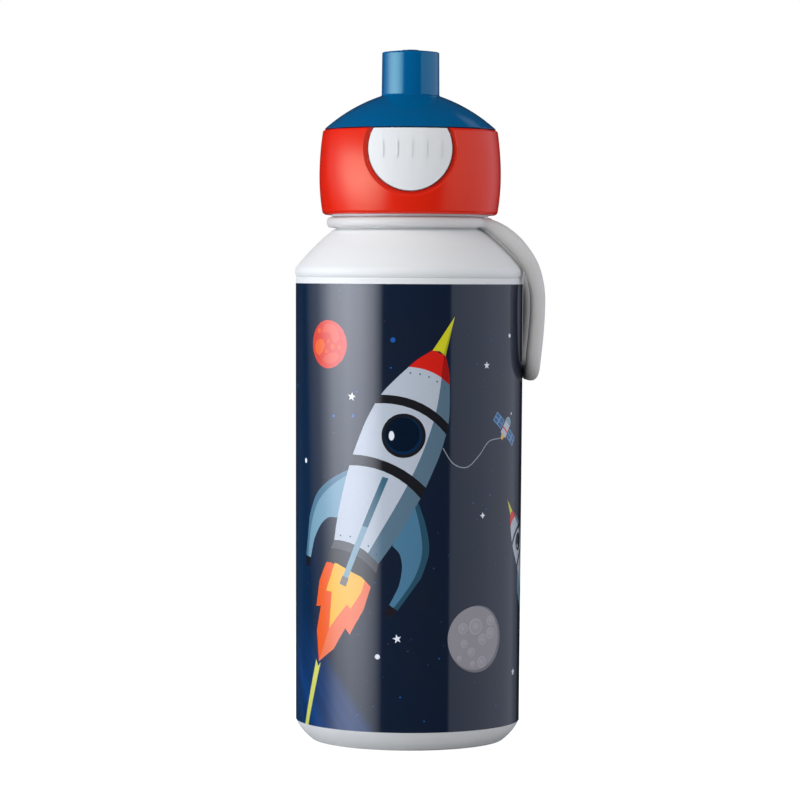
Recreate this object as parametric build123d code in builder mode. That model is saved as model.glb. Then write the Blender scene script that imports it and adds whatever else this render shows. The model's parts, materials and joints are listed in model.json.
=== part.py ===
from build123d import *

import os

# Kids pop-up water bottle.
# Frame: origin at the centre of the flat foot, +Z up, -Y towards the button side, +X towards the strap.
# Lengths are millimetres, angles are degrees.

os.makedirs("parts", exist_ok=True)

# ---------------------------------------------------------------- driving dimensions
# bottle body
BODY_R_BASE = 33.2          # outer radius at the lower edge of the printed sleeve
BODY_R_TOP = 33.75          # outer radius at its upper edge
FILM_LOW, FILM_HIGH = 5.8, 135.15
FILM_T = 0.3
FILM_SLIT = 0.5             # gap between the sleeve's two ends at the back
FOOT_R = 28.1               # flat foot
FOOT_ROUND = (0.75, 0.38)   # size of the small round at the foot's edge
FOOT_ROUND_R = 1.0
BASE_ARC_R = 13.5           # side of the base, below the sleeve
FOOT_RECESS_R, FOOT_RECESS, FOOT_RECESS_SLOPE = 24.0, 1.2, 1.5
WALL_T = 1.7
FLOOR_T = 1.8
FLOOR_EDGE_R, FLOOR_CORNER_Z, FLOOR_CORNER_R = 26.5, 9.8, 10.5
SEAM_Z = 136.9              # weld between cup and shoulder
SEAM_BEVEL = 0.2
SPIGOT_LENGTH, SPIGOT_GAP = 3.4, 0.05

# shoulder and neck
LIP_R, LIP_Z = 34.0, 138.75
LIP_SEAM_R = 33.3
LIP_FOOT = (33.63, 137.2)
LIP_TOP = (33.68, 139.85)
CONE_FOOT = (33.19, 140.55)
CONE_MIDDLE = (28.44, 145.9)
CONE_TOP = (23.3, 150.6)
CONE_WALL = 1.3             # wall of the cone, measured inwards and downwards
SPIGOT_WALL = 1.6
RING_SEAT_R, RING_SEAT_Z = 21.9, 151.4
FLANGE_R, FLANGE_LOW, FLANGE_HIGH, FLANGE_BEVEL = 23.25, 154.95, 156.2, 0.3
NECK_R, NECK_BORE_R, NECK_TOP, NECK_BEVEL = 20.5, 18.6, 167.6, 0.4
THROAT_R, THROAT_LOW, THROAT_HIGH, THROAT_TOP = 19.9, 150.6, 153.0, 156.0

# screw thread between neck and lid
THREAD_PITCH = 4.0
THREAD_DEPTH = 1.4
THREAD_BASE, THREAD_CREST = 2.2, 1.0
THREAD_ROOT = 0.25          # how far a ridge is rooted in its wall
THREAD_TURNS = 1.3
NECK_THREAD_Z = 160.0       # middle of the neck thread where it starts
INSERT_THREAD_DROP = 0.6    # how much lower the lid's ridge starts

# strap
RING_R_IN, RING_R_OUT = 22.25, 24.7
RING_LOW, RING_HIGH, RING_ROUND = 151.6, 154.75, 0.9
STRAP_TURN = 4.5            # degrees that the strap stands round from +X
STRAP_HALF_GAP = 11.0       # from the middle of the loop to the middle of a leg
STRAP_T, STRAP_W = 4.8, 5.4
STUB_FOOT_RHO, STUB_FOOT_T, STUB_FOOT_FALL = 20.6, 3.0, 0.1
STUB_END_RHO, STUB_END_Z, STUB_END_FALL = 25.4, 151.15, 0.72
FLEX_RHO, FLEX_Z = 27.0, 150.0   # where the legs bend when the loop is lifted
FLEX_GAP = 0.35
LOOP_OUTER = [(28.7, 151.7), (33.0, 147.4), (37.2, 141.0), (39.25, 130.5), (39.0, 119.5), (38.75, 109.2)]
LOOP_INNER = [(34.05, 109.2), (34.2, 119.9), (34.45, 130.5), (32.7, 139.8), (28.9, 144.8), (25.3, 148.3)]
LOOP_BOTTOM, LOOP_ROOT = (36.4, 106.8), (25.3, 151.7)
LOOP_CORNER_R, LOOP_INNER_CORNER_R = 9.0, 4.6

# lid collar
COLLAR_LOW, COLLAR_TOP = 155.45, 180.4
COLLAR_R, COLLAR_WIDEST_Z = 26.88, 166.8
COLLAR_LOW_ARC_R, COLLAR_HIGH_ARC_R = 63.0, 90.0
COLLAR_BORE_R = 24.2
COLLAR_LIP_R, COLLAR_LIP_TOP = 23.65, 156.7
LOW_ROUND_START, LOW_ROUND_MIDDLE, LOW_ROUND_Z = (24.9, 155.45), (25.55, 155.7), 156.4
HIGH_ROUND_END, HIGH_ROUND_MIDDLE, HIGH_ROUND_Z = (25.25, 180.4), (25.72, 180.2), 179.7

# thread insert and deck
INSERT_R, INSERT_BORE_R, INSERT_LOW = 24.2, 22.3, 156.7
INSERT_LEAD_IN, INSERT_BEVEL = 0.5, 0.4
DECK_LOW, DECK_T = 170.0, 1.6
DECK_TOP = DECK_LOW + DECK_T
RELIEF_R, RELIEF_Y = 23.85, -19.0    # shallow relief of the insert behind the button

# button
BUTTON_Z, BUTTON_R = 174.3, 12.15
BUTTON_T = 1.4
BUTTON_LOW, BUTTON_TOP = 157.0, 180.25
WINDOW_GAP = 0.22
WINDOW_BEVEL = 1.5
GRIP_BARS, GRIP_PITCH, GRIP_W, GRIP_H, GRIP_RISE = 5, 4.2, 1.3, 5.0, 0.22

# hood
HOOD_LOW, HOOD_R = 180.6, 25.35
HOOD_BEVEL = (0.25, 0.15)
DOME_EDGE = (25.3, 180.85)
DOME_MIDDLE = (18.2, 186.15)
DOME_TOP = (8.9, 190.55)
NOZZLE_FILLET, NOZZLE_FOOT = (8.62, 190.78), (8.56, 191.15)
NOZZLE_R, NOZZLE_TOP, CROWN_TOP = 8.45, 203.55, 204.1
NOZZLE_ROUND, NOZZLE_ROUND_MIDDLE = 0.45, 0.13
CROWN_MIDDLE = (4.6, 203.92)
NOZZLE_BORE_R, NOZZLE_CEILING = 6.9, 202.0
NOZZLE_BORE_FOOT, DOME_INNER_TOP = 190.6, (8.2, 189.2)
DOME_INNER_MIDDLE, DOME_INNER_EDGE = (17.25, 184.7), (23.45, 180.7)
SKIRT_R, SKIRT_T, SKIRT_LOW, SKIRT_HALF_Y, SKIRT_ROOT = 23.75, 1.2, 178.9, 12.0, 0.6
MARK_R, MARK_RISE, MARK_ROOT = 2.4, 0.15, 0.3    # moulding mark on the crown

# hood hinge
HINGE_Y, HINGE_Z = 25.5, 181.0
PIN_R, PIN_HALF, PIN_BEVEL, PIN_GAP = 1.0, 10.0, 0.2, 0.08
EAR_R, EAR_IN, EAR_OUT = 2.8, 6.5, 10.0
EAR_ROOT_Y, EAR_ROOT_Z, EAR_BACK_Y, EAR_FRONT_Z = 24.3, 172.5, 26.6, 179.0
KNUCKLE_R, KNUCKLE_IN, KNUCKLE_OUT = 2.7, 3.2, 6.2
KNUCKLE_ARM = [(20.6, 184.3), (20.6, 183.0), (22.4, 180.9)]
HINGE_CLEAR = 0.3
SPRING_COIL_R, SPRING_WIRE_R, SPRING_PITCH, SPRING_TURNS = 1.75, 0.3, 0.85, 5

# catch between hood and button
TAB_Y, TAB_T, TAB_HALF, TAB_LOW = -21.1, 1.2, 3.4, 174.4
TAB_FRONT_TOP, TAB_BACK_TOP = 181.6, 183.0
CATCH_DEPTH, CATCH_HEIGHT, CATCH_SLOPE = 1.1, 1.5, 0.9
LEAF_Y, LEAF_T, LEAF_HALF, LEAF_TOP = -19.5, 1.2, 6.2, 178.6
LEAF_FOOT, LEAF_FOOT_T, LEAF_FILLET = 5.5, 1.2, 0.8
NOSE_LOW, NOSE_HIGH, NOSE_DEPTH = 176.2, 178.2, 1.2
NOSE_T = 0.4
RIB_X, RIB_T, RIB_LOW, RIB_HIGH = 5.2, 1.2, 173.0, 175.9
RIB_FRONT_Y, RIB_GAP = -25.0, 0.3

# spout, vent valve, stopper, seal
SPOUT_HOLE_R = 7.1
SPOUT_BORE_R, SPOUT_TOP = 2.4, 196.4
SPOUT_MOUTH_R, SPOUT_LOW = 4.4, 168.7
SPOUT_BARB_R, SPOUT_BARB_Z = 8.3, 169.4
SPOUT_FLANGE_R, SPOUT_FLANGE_T, SPOUT_FLANGE_BEVEL = 9.6, 1.4, 0.4
SPOUT_CONE = [(7.8, 173.0), (6.1, 177.0), (5.6, 184.0), (5.7, 191.0)]
SPOUT_TIP = [(5.7, 191.0), (5.0, 194.3), (3.4, 196.4)]
SPOUT_BORE_TOP_BEVEL, SPOUT_BORE_FOOT, SPOUT_MOUTH_TOP = 0.4, 176.0, 170.5
VENT_Y, VENT_HOLE_R = 13.2, 1.5
VENT_DISC_R, VENT_DISC_T = 3.4, 0.9
VENT_CAP_R, VENT_CAP_T, VENT_CAP_TAPER = 2.2, 1.4, 28.0
STOPPER_DISC_T, STOPPER_R, STOPPER_GAP = 1.6, 4.2, 0.5
SEAL_IN, SEAL_OUT, SEAL_LOW, SEAL_ROUND = 18.5, 22.0, 167.95, 0.5

SLAB = 60.0                 # a size past every part, for cutting

# what follows from these
SPIGOT_R = BODY_R_TOP - FILM_T - WALL_T
CUP_EDGE_R = BODY_R_TOP - 0.05
RING_MIDDLE = (RING_LOW + RING_HIGH) / 2


def collar_radius(z):
    """Outer radius of the barrel at height z."""
    arc = COLLAR_LOW_ARC_R if z < COLLAR_WIDEST_Z else COLLAR_HIGH_ARC_R
    return COLLAR_R - arc + (arc**2 - (z - COLLAR_WIDEST_Z) ** 2) ** 0.5


def barrel_lines(low, high, inset=0.0):
    """Draw the barrel's side from low to high, moved in by inset, and give its two ends."""
    ends = [(collar_radius(z) - inset, z) for z in (low, high)]
    quarters = [(z + COLLAR_WIDEST_Z) / 2 for z in (low, high)]
    through = [(collar_radius(z) - inset, z) for z in quarters]
    widest = (COLLAR_R - inset, COLLAR_WIDEST_Z)
    ThreePointArc(ends[0], through[0], widest)
    ThreePointArc(widest, through[1], ends[1])
    return ends


def barrel_shell(inset, thickness):
    """The barrel's wall behind the button, as a plain ring."""
    with BuildPart() as shell:
        with BuildSketch(Plane.XZ):
            with BuildLine():
                outer = barrel_lines(BUTTON_LOW, BUTTON_TOP, inset)
                inner = barrel_lines(BUTTON_LOW, BUTTON_TOP, inset + thickness)
                Line(outer[0], inner[0])
                Line(outer[1], inner[1])
            make_face()
        revolve(axis=Axis.Z)
    return shell.part


def on_window_rim(edge):
    """Is this edge part of the outer rim of the button window?"""
    middle = edge.position_at(0.5)
    off_centre = (middle.X**2 + (middle.Z - BUTTON_Z) ** 2) ** 0.5
    outside = (middle.X**2 + middle.Y**2) ** 0.5 > collar_radius(middle.Z) - 0.05
    return middle.Y < 0 and abs(off_centre - BUTTON_R - WINDOW_GAP) < 0.05 and outside


def thread_ridge(radius, inward, start_z, phase):
    """One helical ridge of trapezoid section, rooted a little inside the wall it stands on."""
    sign = -1 if inward else 1
    root = -sign * THREAD_ROOT
    crest = sign * THREAD_DEPTH
    path = Helix(
        pitch=THREAD_PITCH,
        height=THREAD_PITCH * THREAD_TURNS,
        radius=radius,
        center=(0, 0, start_z),
    ).rotate(Axis.Z, phase)
    across = Plane(origin=path @ 0, x_dir=(path @ 0) - Vector(0, 0, start_z), z_dir=path % 0)
    with BuildPart() as ridge:
        with BuildSketch(across):
            with BuildLine():
                Polyline(
                    (root, -THREAD_BASE / 2),
                    (crest, -THREAD_CREST / 2),
                    (crest, THREAD_CREST / 2),
                    (root, THREAD_BASE / 2),
                    close=True,
                )
            make_face()
        sweep(path=path, is_frenet=True)
    return ridge.part


# ---------------------------------------------------------------- bottle body
with BuildPart() as bottle_cup:
    with BuildSketch(Plane.XZ):
        with BuildLine():
            foot_round = (FOOT_R + FOOT_ROUND[0], FOOT_ROUND[1])
            corner = (BODY_R_BASE - FILM_T - WALL_T, FLOOR_CORNER_Z)
            floor_edge = (FLOOR_EDGE_R, FOOT_RECESS + FLOOR_T)
            Polyline(
                (0, FOOT_RECESS),
                (FOOT_RECESS_R - FOOT_RECESS_SLOPE, FOOT_RECESS),
                (FOOT_RECESS_R, 0),
                (FOOT_R, 0),
            )
            RadiusArc((FOOT_R, 0), foot_round, -FOOT_ROUND_R)
            RadiusArc(foot_round, (BODY_R_BASE, FILM_LOW), -BASE_ARC_R)
            Polyline(
                (BODY_R_BASE, FILM_LOW),
                (BODY_R_BASE - FILM_T, FILM_LOW),
                (BODY_R_TOP - FILM_T, FILM_HIGH),
                (CUP_EDGE_R, FILM_HIGH),
                (CUP_EDGE_R, SEAM_Z - SEAM_BEVEL),
                (CUP_EDGE_R - SEAM_BEVEL, SEAM_Z),
                (SPIGOT_R, SEAM_Z),
                corner,
            )
            RadiusArc(corner, floor_edge, FLOOR_CORNER_R)
            Polyline(floor_edge, (0, FOOT_RECESS + FLOOR_T), (0, FOOT_RECESS))
        make_face()
    revolve(axis=Axis.Z)
bottle_cup.part.label = "bottle_cup"
export_step(bottle_cup.part, "parts/bottle_cup.step")

with BuildPart() as printed_film:
    with BuildSketch(Plane.XZ):
        with BuildLine():
            Polyline(
                (BODY_R_BASE - FILM_T, FILM_LOW),
                (BODY_R_BASE, FILM_LOW),
                (BODY_R_TOP, FILM_HIGH),
                (BODY_R_TOP - FILM_T, FILM_HIGH),
                close=True,
            )
        make_face()
    revolve(axis=Axis.Z)
    # the sleeve's two ends nearly meet at the back
    with BuildSketch(Plane.XY):
        with Locations((0, BODY_R_TOP)):
            Rectangle(FILM_SLIT, 4)
    extrude(amount=2 * FILM_HIGH, mode=Mode.SUBTRACT)
printed_film.part.label = "printed_film"
export_step(printed_film.part, "parts/printed_film.step")

# ---------------------------------------------------------------- shoulder and neck
neck_ridge = thread_ridge(NECK_R, False, NECK_THREAD_Z, 0)

with BuildPart() as shoulder_neck:
    with BuildSketch(Plane.XZ):
        with BuildLine():
            spigot_foot = (SPIGOT_R - SPIGOT_GAP, SEAM_Z - SPIGOT_LENGTH)
            cone_inner_foot = (SPIGOT_R - SPIGOT_WALL, LIP_Z)
            Polyline(spigot_foot, (SPIGOT_R, SEAM_Z), (LIP_SEAM_R, SEAM_Z), LIP_FOOT)
            ThreePointArc(LIP_FOOT, (LIP_R, LIP_Z), LIP_TOP)
            Line(LIP_TOP, CONE_FOOT)
            ThreePointArc(CONE_FOOT, CONE_MIDDLE, CONE_TOP)
            Polyline(
                CONE_TOP,
                (RING_SEAT_R, RING_SEAT_Z),
                (RING_SEAT_R, FLANGE_LOW),
                (FLANGE_R, FLANGE_LOW),
                (FLANGE_R, FLANGE_HIGH - FLANGE_BEVEL),
                (FLANGE_R - FLANGE_BEVEL, FLANGE_HIGH),
                (NECK_R, FLANGE_HIGH),
                (NECK_R, NECK_TOP - NECK_BEVEL),
                (NECK_R - NECK_BEVEL, NECK_TOP),
                (NECK_BORE_R, NECK_TOP),
                (NECK_BORE_R, THROAT_TOP),
                (THROAT_R, THROAT_HIGH),
                (THROAT_R, THROAT_LOW),
            )
            cone_inner_middle = (CONE_MIDDLE[0] - CONE_WALL, CONE_MIDDLE[1] - CONE_WALL)
            ThreePointArc((THROAT_R, THROAT_LOW), cone_inner_middle, cone_inner_foot)
            Polyline(cone_inner_foot, (cone_inner_foot[0], spigot_foot[1]), spigot_foot)
        make_face()
    revolve(axis=Axis.Z)
    add(neck_ridge)
shoulder_neck.part.label = "shoulder_neck"
export_step(shoulder_neck.part, "parts/shoulder_neck.step")

# ---------------------------------------------------------------- strap
strap_radial = Vector(1, 0, 0).rotate(Axis.Z, STRAP_TURN)
strap_across = Vector(0, 1, 0).rotate(Axis.Z, STRAP_TURN)
strap_side_plane = Plane((0, 0, 0), x_dir=strap_radial, z_dir=-strap_across)
strap_front_plane = Plane((0, 0, 0), x_dir=strap_across, z_dir=strap_radial)


def strap_point(rho, across, z):
    """A point of the strap: outwards, round the bottle, and up."""
    return Vector(rho, across, z).rotate(Axis.Z, STRAP_TURN)


def leg_section(at, fall, thickness):
    """Oval section of a strap leg that runs outwards and falls by this much."""
    with BuildSketch(Plane(origin=at, x_dir=strap_across, z_dir=strap_point(1, 0, -fall))) as section:
        Ellipse(STRAP_W / 2, thickness / 2)
    return section.sketch


with BuildPart() as strap_ring:
    with BuildSketch(Plane.XZ):
        with BuildLine():
            Polyline(
                (RING_R_OUT - RING_ROUND, RING_LOW),
                (RING_R_IN, RING_LOW),
                (RING_R_IN, RING_HIGH),
                (RING_R_OUT - RING_ROUND, RING_HIGH),
            )
            ThreePointArc(
                (RING_R_OUT - RING_ROUND, RING_HIGH),
                (RING_R_OUT, RING_MIDDLE),
                (RING_R_OUT - RING_ROUND, RING_LOW),
            )
        make_face()
    revolve(axis=Axis.Z)
    # the two stubs that the loop hangs from
    for side in (-1, 1):
        foot = strap_point(STUB_FOOT_RHO, side * STRAP_HALF_GAP, RING_MIDDLE)
        end = strap_point(STUB_END_RHO, side * STRAP_HALF_GAP, STUB_END_Z)
        add(leg_section(foot, STUB_FOOT_FALL, STUB_FOOT_T))
        add(leg_section(end, STUB_END_FALL, STRAP_T))
        loft()
    # room for the neck inside the ring, and for the rounded ends of the loop
    with BuildSketch(Plane.XY.offset(RING_LOW - 5)):
        Circle(RING_R_IN)
    extrude(amount=20, mode=Mode.SUBTRACT)
    with BuildSketch(strap_side_plane.offset(-SLAB / 2)):
        with Locations((FLEX_RHO, FLEX_Z)):
            Circle(STRAP_T / 2 + FLEX_GAP)
    extrude(amount=SLAB, mode=Mode.SUBTRACT)
strap_ring.part.label = "strap_ring"
export_step(strap_ring.part, "parts/strap_ring.step")

with BuildPart() as strap_loop:
    # side view of the hanging loop
    with BuildSketch(strap_side_plane):
        with BuildLine():
            Spline(*LOOP_OUTER)
            ThreePointArc(LOOP_OUTER[-1], LOOP_BOTTOM, LOOP_INNER[0])
            Spline(*LOOP_INNER)
            ThreePointArc(LOOP_INNER[-1], LOOP_ROOT, LOOP_OUTER[0])
        make_face()
    extrude(amount=STRAP_HALF_GAP + STRAP_W / 2, both=True)
    # the same loop seen along the bottle's radius: a U with an open top
    with BuildSketch(strap_front_plane):
        with Locations((0, LOOP_BOTTOM[1] + SLAB / 2)):
            RectangleRounded(2 * STRAP_HALF_GAP + STRAP_W, SLAB, LOOP_CORNER_R)
        with Locations((0, LOOP_BOTTOM[1] + STRAP_T + SLAB / 2)):
            RectangleRounded(2 * STRAP_HALF_GAP - STRAP_W, SLAB, LOOP_INNER_CORNER_R, mode=Mode.SUBTRACT)
    extrude(amount=SLAB, mode=Mode.INTERSECT)
strap_loop.part.label = "strap_loop"
export_step(strap_loop.part, "parts/strap_loop.step")

# ---------------------------------------------------------------- lid: collar, insert, seal
with BuildPart() as lid_collar:
    # barrel, higher than the collar so that the window's bevel runs all the way round
    with BuildSketch(Plane.XZ):
        with BuildLine():
            low, high = barrel_lines(COLLAR_LOW - 1, BUTTON_Z + BUTTON_R + 2)
            Polyline(high, (COLLAR_LIP_R - 0.5, high[1]), (COLLAR_LIP_R - 0.5, low[1]), low)
        make_face()
    revolve(axis=Axis.Z)
    with BuildSketch(Plane.XZ):
        with Locations((0, BUTTON_Z)):
            Circle(BUTTON_R + WINDOW_GAP)
    extrude(amount=SLAB, mode=Mode.SUBTRACT)
    chamfer(lid_collar.edges().filter_by(on_window_rim), length=WINDOW_BEVEL)
    # rounded lower and upper edges, and the bore with its snap lip
    with BuildSketch(Plane.XZ):
        with BuildLine():
            low = (collar_radius(LOW_ROUND_Z), LOW_ROUND_Z)
            high = (collar_radius(HIGH_ROUND_Z), HIGH_ROUND_Z)
            ThreePointArc(LOW_ROUND_START, LOW_ROUND_MIDDLE, low)
            Polyline(low, (SLAB, low[1]), (SLAB, high[1]), high)
            ThreePointArc(high, HIGH_ROUND_MIDDLE, HIGH_ROUND_END)
            Polyline(
                HIGH_ROUND_END,
                (COLLAR_BORE_R, COLLAR_TOP),
                (COLLAR_BORE_R, COLLAR_LIP_TOP),
                (COLLAR_LIP_R, COLLAR_LIP_TOP),
                (COLLAR_LIP_R, COLLAR_LOW),
                LOW_ROUND_START,
            )
        make_face()
    revolve(axis=Axis.Z, mode=Mode.INTERSECT)
    # hinge ears at the back
    for side in (-1, 1):
        with BuildSketch(Plane.YZ.offset(side * (EAR_IN + EAR_OUT) / 2)):
            with Locations((HINGE_Y, HINGE_Z)):
                Circle(EAR_R)
            with BuildLine():
                Polyline(
                    (HINGE_Y + EAR_R - 0.05, HINGE_Z - 0.5),
                    (EAR_BACK_Y, EAR_ROOT_Z),
                    (EAR_ROOT_Y, EAR_ROOT_Z),
                    (EAR_ROOT_Y, EAR_FRONT_Z),
                    (HINGE_Y - EAR_R + 0.6, HINGE_Z - 1.6),
                    (HINGE_Y, HINGE_Z),
                    close=True,
                )
            make_face()
        extrude(amount=(EAR_OUT - EAR_IN) / 2, both=True)
    # notch for the hood's knuckles and the spring, and the pin hole
    with BuildSketch(Plane.YZ):
        with Locations((HINGE_Y, HINGE_Z)):
            Circle(KNUCKLE_R + HINGE_CLEAR)
    extrude(amount=EAR_IN - 0.05, both=True, mode=Mode.SUBTRACT)
    with BuildSketch(Plane.YZ):
        with Locations((HINGE_Y, HINGE_Z)):
            Circle(PIN_R)
    extrude(amount=SLAB / 2, both=True, mode=Mode.SUBTRACT)
lid_collar.part.label = "lid_collar"
export_step(lid_collar.part, "parts/lid_collar.step")

insert_phase = 180 - INSERT_THREAD_DROP / THREAD_PITCH * 360
insert_ridge = thread_ridge(INSERT_BORE_R, True, NECK_THREAD_Z - INSERT_THREAD_DROP, insert_phase)

with BuildPart() as thread_insert:
    with BuildSketch(Plane.XZ):
        with BuildLine():
            Polyline(
                (SPOUT_HOLE_R, DECK_LOW),
                (INSERT_BORE_R, DECK_LOW),
                (INSERT_BORE_R, INSERT_LOW + INSERT_LEAD_IN),
                (INSERT_BORE_R + INSERT_LEAD_IN, INSERT_LOW),
                (INSERT_R, INSERT_LOW),
                (INSERT_R, DECK_TOP - INSERT_BEVEL),
                (INSERT_R - INSERT_BEVEL, DECK_TOP),
                (SPOUT_HOLE_R, DECK_TOP),
                close=True,
            )
        make_face()
    revolve(axis=Axis.Z)
    with BuildSketch(Plane.XY.offset(DECK_LOW - 1)):
        with Locations((0, VENT_Y)):
            Circle(VENT_HOLE_R)
    extrude(amount=DECK_T + 2, mode=Mode.SUBTRACT)
    # shallow relief behind the button
    with BuildSketch(Plane.XY.offset(INSERT_LOW - 1)):
        Circle(INSERT_R + 1)
        Circle(RELIEF_R, mode=Mode.SUBTRACT)
        with Locations((0, RELIEF_Y + SLAB / 2)):
            Rectangle(SLAB, SLAB, mode=Mode.SUBTRACT)
    extrude(amount=DECK_TOP, mode=Mode.SUBTRACT)
    add(insert_ridge)
thread_insert.part.label = "thread_insert"
export_step(thread_insert.part, "parts/thread_insert.step")

with BuildPart() as lid_seal:
    with BuildSketch(Plane.XZ):
        with Locations(((SEAL_IN + SEAL_OUT) / 2, (SEAL_LOW + DECK_LOW) / 2)):
            RectangleRounded(SEAL_OUT - SEAL_IN, DECK_LOW - SEAL_LOW, SEAL_ROUND)
    revolve(axis=Axis.Z)
lid_seal.part.label = "lid_seal"
export_step(lid_seal.part, "parts/lid_seal.step")

# ---------------------------------------------------------------- lid: spout and vent valve
with BuildPart() as drinking_spout:
    with BuildSketch(Plane.XZ):
        with BuildLine():
            Polyline(
                (SPOUT_MOUTH_R, SPOUT_LOW),
                (SPOUT_BARB_R - 0.9, SPOUT_LOW),
                (SPOUT_BARB_R, SPOUT_BARB_Z),
                (SPOUT_BARB_R, DECK_LOW),
                (SPOUT_HOLE_R, DECK_LOW),
                (SPOUT_HOLE_R, DECK_TOP),
                (SPOUT_FLANGE_R, DECK_TOP),
                (SPOUT_FLANGE_R, DECK_TOP + SPOUT_FLANGE_T - SPOUT_FLANGE_BEVEL),
                (SPOUT_FLANGE_R - SPOUT_FLANGE_BEVEL, DECK_TOP + SPOUT_FLANGE_T),
                SPOUT_CONE[0],
            )
            Spline(*SPOUT_CONE, tangents=((-1, 1), (0, 1)))
            Spline(*SPOUT_TIP, tangents=((0, 1), (-1, 0)))
            Polyline(
                SPOUT_TIP[-1],
                (SPOUT_BORE_R + SPOUT_BORE_TOP_BEVEL, SPOUT_TOP),
                (SPOUT_BORE_R, SPOUT_TOP - SPOUT_BORE_TOP_BEVEL),
                (SPOUT_BORE_R, SPOUT_BORE_FOOT),
                (SPOUT_MOUTH_R, SPOUT_MOUTH_TOP),
                (SPOUT_MOUTH_R, SPOUT_LOW),
            )
        make_face()
    revolve(axis=Axis.Z)
drinking_spout.part.label = "drinking_spout"
export_step(drinking_spout.part, "parts/drinking_spout.step")

with BuildPart() as vent_valve:
    with BuildSketch(Plane.XY.offset(DECK_LOW - VENT_DISC_T)):
        with Locations((0, VENT_Y)):
            Circle(VENT_DISC_R)
    extrude(amount=VENT_DISC_T)
    with BuildSketch(Plane.XY.offset(DECK_LOW)):
        with Locations((0, VENT_Y)):
            Circle(VENT_HOLE_R)
    extrude(amount=DECK_T)
    with BuildSketch(Plane.XY.offset(DECK_TOP)):
        with Locations((0, VENT_Y)):
            Circle(VENT_CAP_R)
    extrude(amount=VENT_CAP_T, taper=VENT_CAP_TAPER)
vent_valve.part.label = "vent_valve"
export_step(vent_valve.part, "parts/vent_valve.step")

# ---------------------------------------------------------------- lid: button and catch
button_wall = barrel_shell(0, BUTTON_T)
grip_wall = barrel_shell(-GRIP_RISE, BUTTON_T)

# raised bars that a fingertip finds
with BuildPart() as grip:
    add(grip_wall)
    with BuildSketch(Plane.XZ):
        with Locations((0, BUTTON_Z)):
            with GridLocations(GRIP_PITCH, 0, GRIP_BARS, 1):
                SlotOverall(GRIP_H, GRIP_W, rotation=90)
    extrude(amount=SLAB, mode=Mode.INTERSECT)

with BuildPart() as push_button:
    add(button_wall)
    with BuildSketch(Plane.XZ):
        with Locations((0, BUTTON_Z)):
            Circle(BUTTON_R)
    extrude(amount=SLAB, mode=Mode.INTERSECT)
    add(grip.part)
    # ribs that push the catch
    with BuildSketch(Plane.XY.offset(RIB_LOW)):
        rib_back = LEAF_Y - RIB_GAP
        with Locations(*[(x, (RIB_FRONT_Y + rib_back) / 2) for x in (-RIB_X, RIB_X)]):
            Rectangle(RIB_T, rib_back - RIB_FRONT_Y)
    extrude(amount=RIB_HIGH - RIB_LOW)
push_button.part.label = "push_button"
export_step(push_button.part, "parts/push_button.step")

with BuildPart() as latch_spring:
    with BuildSketch(Plane.YZ):
        with BuildLine():
            Polyline(
                (LEAF_Y, DECK_TOP),
                (LEAF_Y, NOSE_LOW),
                (LEAF_Y - NOSE_DEPTH, NOSE_LOW),
                (LEAF_Y - NOSE_DEPTH, NOSE_LOW + NOSE_T),
                (LEAF_Y, NOSE_HIGH),
                (LEAF_Y, LEAF_TOP),
                (LEAF_Y + LEAF_T, LEAF_TOP),
                (LEAF_Y + LEAF_T, DECK_TOP + LEAF_FOOT_T + 0.6),
                (LEAF_Y + LEAF_T + LEAF_FILLET, DECK_TOP + LEAF_FOOT_T),
                (LEAF_Y + LEAF_FOOT, DECK_TOP + LEAF_FOOT_T),
                (LEAF_Y + LEAF_FOOT, DECK_TOP),
                close=True,
            )
        make_face()
    extrude(amount=LEAF_HALF, both=True)
latch_spring.part.label = "latch_spring"
export_step(latch_spring.part, "parts/latch_spring.step")

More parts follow.
